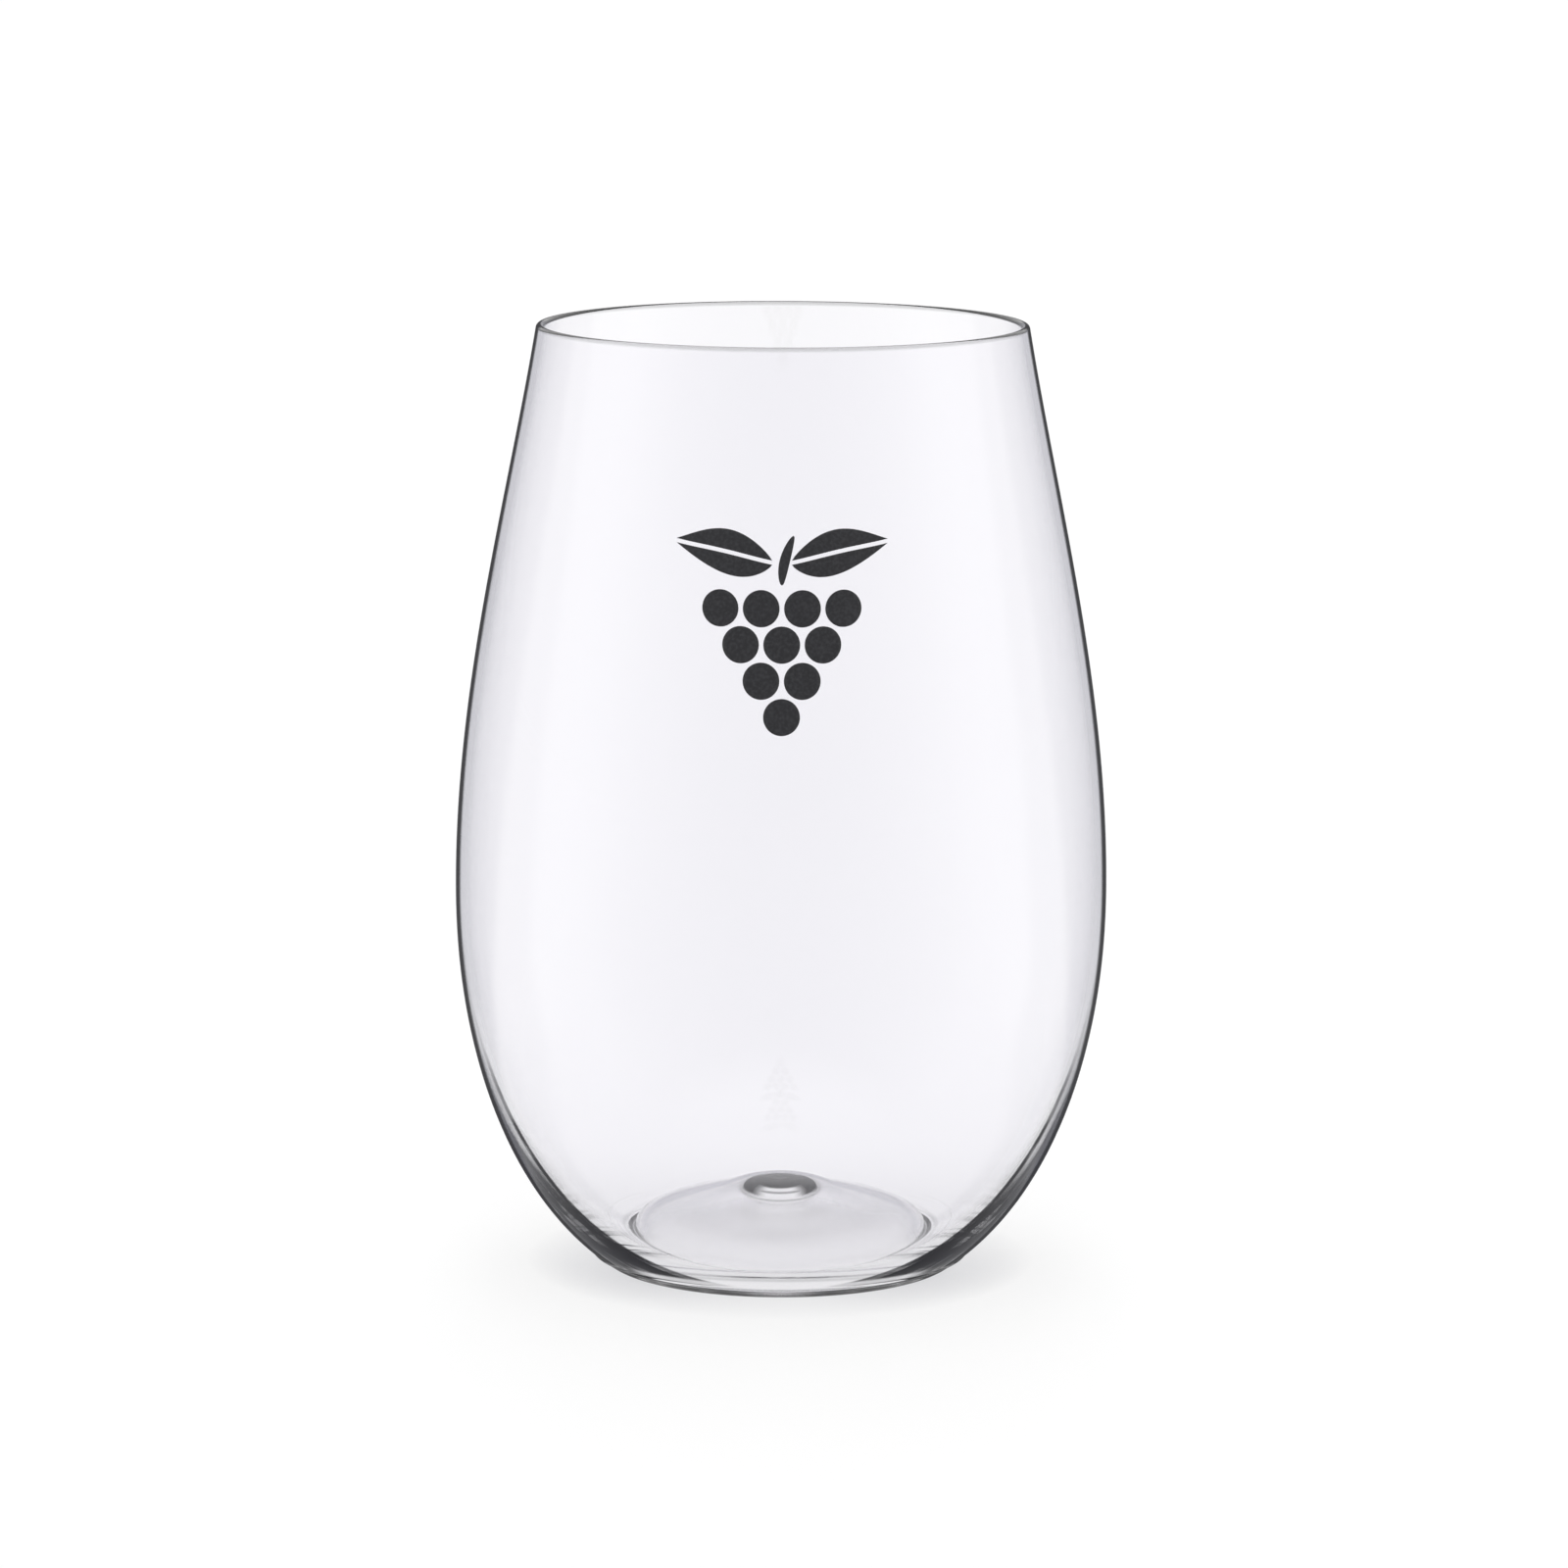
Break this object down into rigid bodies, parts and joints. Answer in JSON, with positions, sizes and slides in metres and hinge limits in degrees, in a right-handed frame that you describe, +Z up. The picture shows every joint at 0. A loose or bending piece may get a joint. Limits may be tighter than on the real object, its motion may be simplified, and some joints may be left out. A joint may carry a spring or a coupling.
{
  "type": "plastic tumbler",
  "caption": "Clear plastic stemless wine tumbler with an egg-shaped wall, a thin rounded lip, a domed base and a printed motif.",
  "frame": {"origin": "centre of the ring that the tumbler stands on, at the level of the table", "axes": "+Z up along the axis of the cup, towards the mouth; -Y towards the printed front; +X to the right of the print"},
  "size_m": [0.084, 0.084, 0.122],
  "materials": {
    "clear_plastic": "clear, polished, water-white with a faint cool cast",
    "black_ink": "screen-printed, near-black, satin"
  },
  "bodies": {
    "root": {"tumbler_body": "clear_plastic", "print_grape_1_1": "black_ink", "print_grape_1_2": "black_ink", "print_grape_1_3": "black_ink", "print_grape_1_4": "black_ink", "print_grape_2_1": "black_ink", "print_grape_2_2": "black_ink", "print_grape_2_3": "black_ink", "print_grape_3_1": "black_ink", "print_grape_3_2": "black_ink", "print_grape_4_1": "black_ink", "print_leaf_left_upper": "black_ink", "print_leaf_left_lower": "black_ink", "print_leaf_right_upper": "black_ink", "print_leaf_right_lower": "black_ink", "print_stem": "black_ink"}
  },
  "joints": []
}
